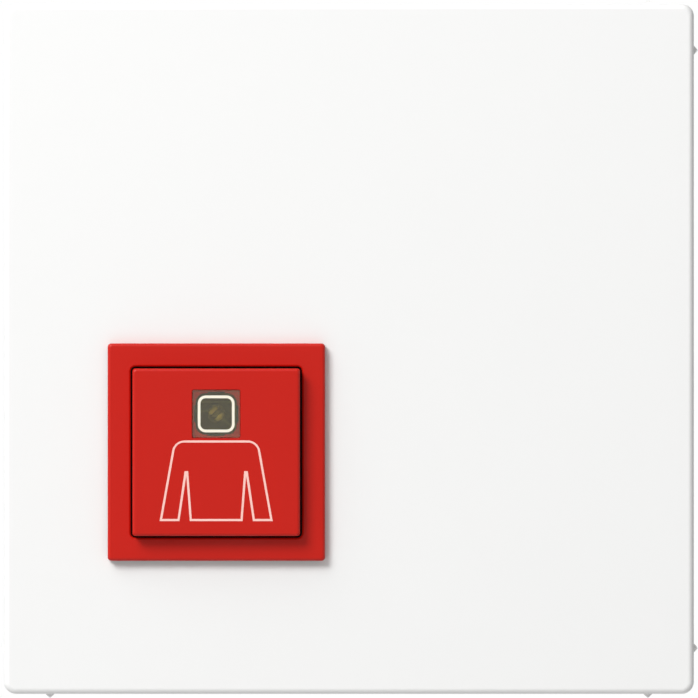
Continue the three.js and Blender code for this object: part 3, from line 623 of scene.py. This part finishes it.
red_acetal, tree, shader = new_finish("red_acetal", "#b81a12", IOR=1.48)
grain(tree, shader, grain_mm=0.3, depth_mm=0.003, rough=0.35, wander=0.05, cloud_mm=3)

green_nylon, tree, shader = new_finish("green_moulded_nylon", "#2b7a47", IOR=1.53)
cloud = grain(tree, shader, grain_mm=0.3, depth_mm=0.008, rough=0.46, wander=0.07, cloud_mm=4)
two_tones(tree, shader, cloud, "#277341", "#30824d")

# %% [markdown]
# ### Circuit board
# The board is glass laminate under olive green solder resist. The resist is a thin glossy skin, so the
# weave of the glass shows faintly in it, as fine crossed lines about 0.6 mm apart.

# %% Solder resist with the weave under it
resist, tree, shader = new_finish("solder_resist_on_laminate", "#46552f", IOR=1.55)
place = add(tree, "ShaderNodeTexCoord").outputs["Object"]
weave_settings = {"wave_type": "BANDS", "bands_direction": "X", "wave_profile": "SIN"}
across = add(tree, "ShaderNodeTexWave", weave_settings, Vector=place, Scale=math.pi / (0.6 * MM) / 10)
weave_settings["bands_direction"] = "Z"
along = add(tree, "ShaderNodeTexWave", weave_settings, Vector=place, Scale=math.pi / (0.6 * MM) / 10)
crossed = add(
    tree, "ShaderNodeMath", {"operation": "MULTIPLY"}, {0: across.outputs["Fac"], 1: along.outputs["Fac"]},
)
two_tones(tree, shader, crossed.outputs[0], "#45431c", "#565227")
skin = add(tree, "ShaderNodeBump", Height=crossed.outputs[0], Distance=0.01 * MM)
tree.links.new(skin.outputs[0], shader.inputs["Normal"])
shader.inputs["Roughness"].default_value = 0.35

# %% [markdown]
# ### Board, housing, cover and ring
# These four are well described by their construction pieces. Their copies take a finish each, and the
# moulded housing and the stamped ring get a small radius on the edges at the back, which can be seen.

# %% Board, housing, cover and ring
board_low, board_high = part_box("circuit_board")
for node, name, finish, slot_name, rim_mm in (
    ("circuit_board", "board_laminate", resist, "board_laminate", 0),
    ("insert_housing", "housing_moulding", grey_nylon, "grey_plastic", 0.5),
    ("housing_cover", "cover_moulding", grey_nylon, "grey_plastic", 0),
    # Painted shade: the ring takes the darkened zinc, which stands in for the shade in the gap.
    ("support_ring", "ring_stamping", shade_darkened_zinc, "zinc_steel", 0.12),
):
    shape = merged_copy(node)
    if rim_mm:
        soften(shape, sharp_edges(shape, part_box(node)[1].y), rim_mm, segments=2)
    finish_piece(name, shape, [finish], stands_for=[node])

# %% [markdown]
# ### Indicator lamp
# The lamp is a 5 mm light-emitting diode: a clear epoxy body with a round dome, and inside it the two
# pieces of its lead frame, which show as two pale bars. The dome starts as a ball that is cut in half.
# Its open rim is then pulled back to make the barrel and the flange.

# %% Clear body of the lamp
LED_RADIUS = 2.5
FLANGE_RADIUS = 2.95
FLANGE_DEPTH = 1.0

led_low, led_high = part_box("led_lens")
led_middle = Vector(((led_low.x + led_high.x) / 2, 0, (led_low.z + led_high.z) / 2))


def pull(shape, rim, back_mm=0.0, widen=1.0):
    """Extrudes an open rim back along Y and widens it round the Y axis. Returns the new rim."""
    made = bmesh.ops.extrude_edge_only(shape, edges=rim)["geom"]
    verts = verts_of(made)
    bmesh.ops.translate(shape, verts=verts, vec=(0, back_mm * MM, 0))
    bmesh.ops.scale(shape, verts=verts, vec=(widen, 1, widen))
    return edges_between(made, set(verts))


led = bmesh.new()
bmesh.ops.create_uvsphere(
    led, u_segments=48, v_segments=24, radius=LED_RADIUS * MM, matrix=Matrix.Rotation(math.pi / 2, 4, "X"),
)
bmesh.ops.bisect_plane(
    led, geom=led.verts[:] + led.edges[:] + led.faces[:], plane_co=(0, 0, 0), plane_no=(0, 1, 0),
    dist=0.001 * MM, clear_outer=True,
)
rim = [edge for edge in led.edges if edge.is_boundary]
rim = pull(led, rim, back_mm=(led_high.y - led_low.y) / MM - LED_RADIUS - FLANGE_DEPTH)
rim = pull(led, rim, widen=FLANGE_RADIUS / LED_RADIUS)
rim = pull(led, rim, back_mm=FLANGE_DEPTH)
bmesh.ops.contextual_create(led, geom=rim)
bmesh.ops.translate(led, verts=led.verts, vec=led_middle + Vector((0, led_low.y + LED_RADIUS * MM, 0)))
bmesh.ops.recalc_face_normals(led, faces=led.faces)

# Clear epoxy is cast, not polished: it is a touch milky and bends light like plain glass.
clear_epoxy, tree, shader = new_finish(
    "clear_epoxy", "#ece4b0", IOR=1.52, Transmission_Weight=0.93, Specular_IOR_Level=0.25,
)
grain(tree, shader, grain_mm=1.2, depth_mm=0.003, rough=0.03, wander=0.02, cloud_mm=2)
finish_piece("led_body", led, [clear_epoxy], stands_for=["led_lens"], smooth=40)

# %% [markdown]
# ### Lead frame
# Inside the lamp stand two posts of matt silver-plated steel. Each ends in a broad flag, and the larger
# post carries the small cup with the chip. The posts are the construction pieces, and each flag is a
# cube that is stretched, turned with its post and rounded.

# %% Lead frame
matt_silver, tree, shader = new_finish("matt_silver_plating", "#fffbe2", Metallic=0.1)
grain(tree, shader, grain_mm=0.3, depth_mm=0.006, rough=0.55, wander=0.06, cloud_mm=1)

FLAG_LENGTH, FLAG_WIDTH, FLAG_DEPTH, FLAG_EDGE = 2.5, 1.25, 0.5, 0.18
FLAG_BELOW_TIP = 2.3
CUP_FOOT, CUP_RIM, CUP_HEIGHT, CUP_STAND = 0.42, 0.6, 0.35, 0.4
for node in ("led_cathode", "led_anode"):
    post_low, post_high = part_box(node)
    post = merged_copy(node)
    flag_middle = (post_low + post_high) / 2
    flag_middle.y = led_low.y + FLAG_BELOW_TIP * MM
    turn = Matrix.Rotation(math.radians(-45), 4, "Y")
    size = Matrix.Diagonal((FLAG_LENGTH * MM, FLAG_DEPTH * MM, FLAG_WIDTH * MM, 1))
    flag_place = Matrix.Translation(flag_middle) @ turn @ size
    flag = bmesh.ops.create_cube(post, size=1, matrix=flag_place)["verts"]
    edges = [edge for edge in post.edges if all(vert in flag for vert in edge.verts)]
    soften(post, edges, FLAG_EDGE, segments=3)
    if node == "led_cathode":
        cup_middle = flag_middle - Vector((0, CUP_STAND * MM, 0))
        cup_place = Matrix.Translation(cup_middle) @ Matrix.Rotation(math.pi / 2, 4, "X")
        bmesh.ops.create_cone(
            post, cap_ends=True, segments=24, radius1=CUP_FOOT * MM, radius2=CUP_RIM * MM,
            depth=CUP_HEIGHT * MM, matrix=cup_place,
        )
    finish_piece(node + "_post", post, [matt_silver], stands_for=[node])

# %% [markdown]
# ### Return springs
# Each spring is a helix of 0.5 mm wire. One round section is spun a little way at a time round the
# spring's axis and moved back with each step: slowly in the end turns, which lie close, and faster
# between them.

# %% Return springs
WIRE_RADIUS = 0.25
SPRING_RADIUS = 2.55
TURNS = 6
STEPS = 20
for side in (1, 2):
    node = f"return_spring_{side}"
    low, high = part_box(node)
    middle = Vector(((low.x + high.x) / 2, 0, (low.z + high.z) / 2))
    span = (high.y - low.y) / MM - 2 * WIRE_RADIUS
    close_pitch = 2.2 * WIRE_RADIUS
    open_pitch = (span - 2 * close_pitch) / (TURNS - 2)
    spring = bmesh.new()
    bmesh.ops.create_circle(spring, cap_ends=False, segments=12, radius=WIRE_RADIUS * MM)
    bmesh.ops.translate(spring, verts=spring.verts, vec=(SPRING_RADIUS * MM, 0, 0))
    section = spring.verts[:] + spring.edges[:]
    for turn in range(TURNS):
        pitch = close_pitch if turn in (0, TURNS - 1) else open_pitch
        section = bmesh.ops.spin(
            spring, geom=section, cent=(0, 0, 0), axis=(0, 1, 0), dvec=(0, pitch / STEPS * MM, 0),
            angle=2 * math.pi, steps=STEPS, use_duplicate=False, use_merge=False,
        )["geom_last"]
    bmesh.ops.holes_fill(spring, edges=[edge for edge in spring.edges if edge.is_boundary])
    bmesh.ops.recalc_face_normals(spring, faces=spring.faces)
    bmesh.ops.translate(
        spring, verts=spring.verts, vec=middle + Vector((0, low.y + WIRE_RADIUS * MM, 0)),
    )
    piece = finish_piece(f"spring_{side}", spring, [spring_wire], stands_for=[node], smooth=60)
    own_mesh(piece)

# %% [markdown]
# ### Screws
# A screw's head and shank come from the construction piece, with the head's edges rounded. Its thread is
# a ridge of three-cornered section, spun round the shank and moved along it by the pitch in each turn.

# %% Screws with threads
FLAT = Vector((1, 0, 1))
HEAD_EDGE = 0.08
HEAD_SHARE = 0.42
HEAD_DEPTH = 2.2
TIP = 0.8
THREAD_ROOT, THREAD_CREST, THREAD_HALF = -0.05, 0.25, 0.25
THREAD_STEPS = 16


def add_thread(shape, middle, radius_mm, start, end, pitch_mm):
    """A ridge round a shank along Y, between two levels."""
    turns = int(abs(end - start) / MM / pitch_mm)
    step = math.copysign(pitch_mm / THREAD_STEPS * MM, end - start)
    profile = ((THREAD_ROOT, -THREAD_HALF), (THREAD_CREST, 0), (THREAD_ROOT, THREAD_HALF))
    ridge = [
        shape.verts.new(middle + Vector(((radius_mm + reach) * MM, start + lift * MM, 0)))
        for reach, lift in profile
    ]
    lines = [shape.edges.new((ridge[0], ridge[1])), shape.edges.new((ridge[1], ridge[2]))]
    bmesh.ops.spin(
        shape, geom=ridge + lines, cent=middle, axis=(0, 1, 0), dvec=(0, step, 0),
        angle=2 * math.pi * turns, steps=THREAD_STEPS * turns, use_duplicate=False, use_merge=False,
    )


for kind, count, radius, pitch, head_behind in (
    ("ring_screw", 4, 1.1, 0.9, True),
    ("board_screw", 2, 1.25, 1.0, False),
):
    for node in (f"{kind}_{n + 1}" for n in range(count)):
        low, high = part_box(node)
        middle = Vector(((low.x + high.x) / 2, 0, (low.z + high.z) / 2))
        head, tip, inward = (high.y, low.y, -1) if head_behind else (low.y, high.y, 1)
        screw = merged_copy(node)
        reach = HEAD_SHARE * (high.x - low.x)
        rim = [
            edge for edge in sharp_edges(screw, head, least=30)
            if all(((vert.co - middle) * FLAT).length > reach for vert in edge.verts)
        ]
        soften(screw, rim, HEAD_EDGE, segments=2)
        add_thread(
            screw, middle, radius, head + inward * HEAD_DEPTH * MM, tip - inward * TIP * MM, pitch,
        )
        finish_piece(node + "_threaded", screw, [zinc], stands_for=[node], smooth=50)

# %% Clamp screws of the terminal
for node in (f"terminal_screw_{n + 1}" for n in range(4)):
    screw = merged_copy(node)
    rims = [edge for edge in screw.edges if edge.is_manifold and edge.calc_face_angle() > math.radians(60)]
    soften(screw, rims, HEAD_EDGE, segments=2)
    finish_piece(node + "_slotted", screw, [zinc], stands_for=[node])

# %% [markdown]
# ### Switches, plungers and terminal
# The key switches are black boxes with tinned legs, and red plungers run in their necks. The terminal is
# green: a header on the board and a plug on it. Pins and legs belong to the same construction pieces as
# their plastic, so the faces of a pin or leg are given the second finish of the piece.

# %% Switches and plungers
CASE_LEVEL = 0.6
CASE_EDGE = 0.25
LEG_START = 0.28


def give_second_finish(shape, is_metal):
    """Puts the faces whose middle passes a test in the piece's second finish."""
    for face in shape.faces:
        face.material_index = 1 if is_metal(face.calc_center_median()) else 0


for n, plunger_body in ((1, "left_plunger"), (2, "right_plunger")):
    node = f"switch_{n}"
    switch = merged_copy(node)
    soften(switch, sharp_edges(switch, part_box(node)[0].y + CASE_LEVEL * MM), CASE_EDGE, segments=2)
    give_second_finish(switch, lambda middle: middle.y > board_low.y - LEG_START * MM)
    finish_piece(node + "_case", switch, [black_plastic, tin], stands_for=[node])
    node = f"plunger_{n}"
    finish_piece(
        node + "_pin", merged_copy(node), [red_acetal], body=plunger_body,
        stands_for=[node],
    )

# %% Header and plug
PIN_START = 0.25
PLUG_EDGE = 0.2
plug_low, plug_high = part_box("terminal_plug")
pin_front, pin_back = board_high.y + PIN_START * MM, plug_low.y - PIN_START * MM


def on_sides(edge, low, high):
    """Whether an edge lies on the left, right, upper or lower side of a box."""
    return all(
        min(abs(v.co.x - low.x), abs(v.co.x - high.x), abs(v.co.z - low.z), abs(v.co.z - high.z)) < TOUCH
        for v in edge.verts
    )


header = merged_copy("terminal_header")
give_second_finish(header, lambda middle: middle.y < pin_front or middle.y > pin_back)
finish_piece("header_block", header, [green_nylon, tin], stands_for=["terminal_header"])

plug = merged_copy("terminal_plug")
outer = [
    edge for edge in plug.edges
    if edge.is_manifold and edge.calc_face_angle() > math.radians(80)
    and on_sides(edge, plug_low, plug_high)
]
soften(plug, outer, PLUG_EDGE, segments=2)
finish_piece("plug_block", plug, [green_nylon], stands_for=["terminal_plug"])

# %% [markdown]
# ### Resistor
# The resistor is a small dog bone of beige lacquer with four colour bands, on two tinned wires that bend
# down into the board. Its outline is spun round, and each band is a thin sleeve on it.

# %% Body of the resistor
RESISTOR_RADIUS = 1.3
RESISTOR_OUTLINE = [
    (0, -3.2), (0.95, -3.15), (1.3, -2.7), (1.3, -2.2), (1.1, -1.7),
    (1.1, 1.7), (1.3, 2.2), (1.3, 2.7), (0.95, 3.15), (0, 3.2),
]
resistor_low, resistor_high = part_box("resistor")
resistor_middle = Vector((
    (resistor_low.x + resistor_high.x) / 2, resistor_low.y + RESISTOR_RADIUS * MM,
    (resistor_low.z + resistor_high.z) / 2,
))


def spun(outline_mm, steps=32):
    """Spins points of [radius, place along X] round the X axis and puts the shape in its place."""
    shape = bmesh.new()
    points = [shape.verts.new((along * MM, radius * MM, 0)) for radius, along in outline_mm]
    lines = [shape.edges.new(pair) for pair in zip(points, points[1:])]
    bmesh.ops.spin(
        shape, geom=points + lines, cent=(0, 0, 0), axis=(1, 0, 0), angle=2 * math.pi, steps=steps,
        use_merge=True, use_duplicate=False,
    )
    bmesh.ops.remove_doubles(shape, verts=shape.verts, dist=0.002 * MM)
    bmesh.ops.recalc_face_normals(shape, faces=shape.faces)
    bmesh.ops.translate(shape, verts=shape.verts, vec=resistor_middle)
    return shape


# Lacquer is dipped on: smooth, with a soft shine.
lacquer, tree, shader = new_finish("beige_lacquer", "#c9ae7e", Specular_IOR_Level=0.5)
grain(tree, shader, grain_mm=0.3, depth_mm=0.006, rough=0.4, wander=0.06, cloud_mm=1)
body = spun(RESISTOR_OUTLINE)
finish_piece("resistor_body", body, [lacquer], stands_for=["resistor"], smooth=60)

# %% Colour bands
END_BAND_RADIUS, MIDDLE_BAND_RADIUS = 1.32, 1.12
BAND_DIP = 0.06
BANDS = [(-2.45, "#c8641e"), (-1.1, "#e0872a"), (-0.2, "#6b3a1c"), (2.45, "#b98a2c")]
for n, (place, code) in enumerate(BANDS):
    band_finish, tree, shader = new_finish(f"band_lacquer_{n + 1}", code)
    grain(tree, shader, grain_mm=0.3, depth_mm=0.004, rough=0.38, wander=0.05, cloud_mm=1)
    radius = END_BAND_RADIUS if abs(place) > 2 else MIDDLE_BAND_RADIUS
    foot = radius - BAND_DIP
    band = spun([(foot, place - 0.28), (radius, place - 0.22), (radius, place + 0.22), (foot, place + 0.28)])
    finish_piece(f"resistor_band_{n + 1}", band, [band_finish], smooth=60)

# %% [markdown]
# ### Wires of the resistor
# One wire starts as a circle inside the body. It is extruded outwards, spun through a quarter turn for
# the bend and extruded again down to the board. A mirrored copy is the other wire.

# %% Wires of the resistor
LEAD_RADIUS = 0.3
LEAD_BEND = 0.8
LEAD_START = 3
half_pitch = (resistor_high.x - resistor_low.x) / 2 - LEAD_RADIUS * MM
foot_level = resistor_high.y - resistor_middle.y - LEAD_BEND * MM

leads = bmesh.new()
bmesh.ops.create_circle(
    leads, cap_ends=False, segments=12, radius=LEAD_RADIUS * MM, matrix=Matrix.Rotation(math.pi / 2, 4, "Y"),
)
bmesh.ops.translate(leads, verts=leads.verts, vec=(LEAD_START * MM, 0, 0))
made = bmesh.ops.extrude_edge_only(leads, edges=leads.edges[:])["geom"]
end = verts_of(made)
bmesh.ops.translate(leads, verts=end, vec=(half_pitch - (LEAD_START + LEAD_BEND) * MM, 0, 0))
bent = bmesh.ops.spin(
    leads, geom=end + edges_between(made, end), cent=(half_pitch - LEAD_BEND * MM, LEAD_BEND * MM, 0),
    axis=(0, 0, 1), angle=math.pi / 2, steps=8, use_merge=False, use_duplicate=False,
)["geom_last"]
made = bmesh.ops.extrude_edge_only(leads, edges=edges_between(bent, verts_of(bent)))["geom"]
bmesh.ops.translate(leads, verts=verts_of(made), vec=(0, foot_level, 0))
bmesh.ops.mirror(leads, geom=leads.verts[:] + leads.edges[:] + leads.faces[:], axis="X")
bmesh.ops.holes_fill(leads, edges=[edge for edge in leads.edges if edge.is_boundary])
bmesh.ops.recalc_face_normals(leads, faces=leads.faces)
bmesh.ops.translate(leads, verts=leads.verts, vec=resistor_middle)
finish_piece("resistor_leads", leads, [tin], smooth=50)

# %% [markdown]
# ### Tracks
# Copper tracks run under the resist and join the switches, the resistor and the lamp to the terminal.
# They stand 0.05 mm proud, so the resist over them catches the light. Each track is a thin bar between
# two points, and each wire has a round pad.

# %% Tracks and pads
TRACK_WIDTH, TRACK_HEIGHT = 0.8, 0.05
PAD_RADIUS, PAD_HEIGHT = 1.0, 0.06
LED_HEIGHT, LED_LEAD = 12.6, 0.9
WIRE_PLACES = [
    (-16.6, -9), (-11.4, -9), (11.4, -9), (16.6, -9), (-5.08, 2.2), (5.08, 2.2),
    (-LED_LEAD, LED_HEIGHT + LED_LEAD), (LED_LEAD, LED_HEIGHT - LED_LEAD),
]
TRACKS = [
    ((-16.6, -9), (-16.6, 2.2)), ((-16.6, 2.2), (-5.08, 2.2)), ((5.08, 2.2), (5.08, 8.5)),
    ((5.08, 8.5), (0.9, 11.7)), ((-0.9, 13.5), (-7.5, 13.5)), ((-7.5, 13.5), (-7.5, -4)),
    ((16.6, -9), (16.6, 16.5)), ((16.6, 16.5), (-12, 16.5)), ((-12, 16.5), (-12, 6)),
    ((11.4, -9), (7.6, -4)), ((-11.4, -9), (-7.6, -4)), ((-6, 9), (-6, 17.5)), ((6, 8), (6, 17.5)),
]
over_copper, tree, shader = new_finish("solder_resist_on_copper", "#5f7a35", IOR=1.55)
cloud = grain(tree, shader, grain_mm=0.4, depth_mm=0.004, rough=0.32, wander=0.05, cloud_mm=3)
two_tones(tree, shader, cloud, "#5d5c26", "#6d6a30")


def add_cone(shape, x, z, foot_mm, top_mm, height_mm, turn):
    """Adds a cone that stands on the board's plane, along Y, at a place in millimetres."""
    level = math.copysign(height_mm / 2, -turn)
    stand = Matrix.Translation((x * MM, level * MM, z * MM)) @ Matrix.Rotation(turn, 4, "X")
    bmesh.ops.create_cone(
        shape, cap_ends=True, segments=24, radius1=foot_mm * MM, radius2=top_mm * MM,
        depth=height_mm * MM, matrix=stand,
    )


tracks = bmesh.new()
for (x0, z0), (x1, z1) in TRACKS:
    length = math.hypot(x1 - x0, z1 - z0) + TRACK_WIDTH
    turn = Matrix.Rotation(-math.atan2(z1 - z0, x1 - x0), 4, "Y")
    stand = Matrix.Translation(((x0 + x1) / 2 * MM, -TRACK_HEIGHT / 2 * MM, (z0 + z1) / 2 * MM))
    size = Matrix.Diagonal((length * MM, TRACK_HEIGHT * MM, TRACK_WIDTH * MM, 1))
    bmesh.ops.create_cube(tracks, size=1, matrix=stand @ turn @ size)
for x, z in WIRE_PLACES:
    add_cone(tracks, x, z, PAD_RADIUS, PAD_RADIUS, PAD_HEIGHT, math.pi / 2)
bmesh.ops.translate(tracks, verts=tracks.verts, vec=Vector((CAP_MIDDLE.x, board_low.y, CAP_MIDDLE.z)))
finish_piece("board_tracks", tracks, [over_copper])

# %% [markdown]
# ### Solder joints
# Solder climbs up a wire and sets as a small bright cone. One cone stands behind the board at each wire.

# %% Solder joints
SOLDER_FOOT, SOLDER_TOP, SOLDER_HEIGHT = 0.95, 0.38, 0.8

joints = bmesh.new()
for x, z in WIRE_PLACES:
    add_cone(joints, x, z, SOLDER_FOOT, SOLDER_TOP, SOLDER_HEIGHT, -math.pi / 2)
bmesh.ops.translate(joints, verts=joints.verts, vec=Vector((CAP_MIDDLE.x, board_high.y, CAP_MIDDLE.z)))
finish_piece("solder_joints", joints, [solder], smooth=50)

# %% [markdown]
# ## Sizes
# The box round all visible pieces is printed in millimetres.

# %% End: sizes
low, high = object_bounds()
print("visual box in mm:", [round((b - a) / MM, 1) for a, b in zip(low, high)])
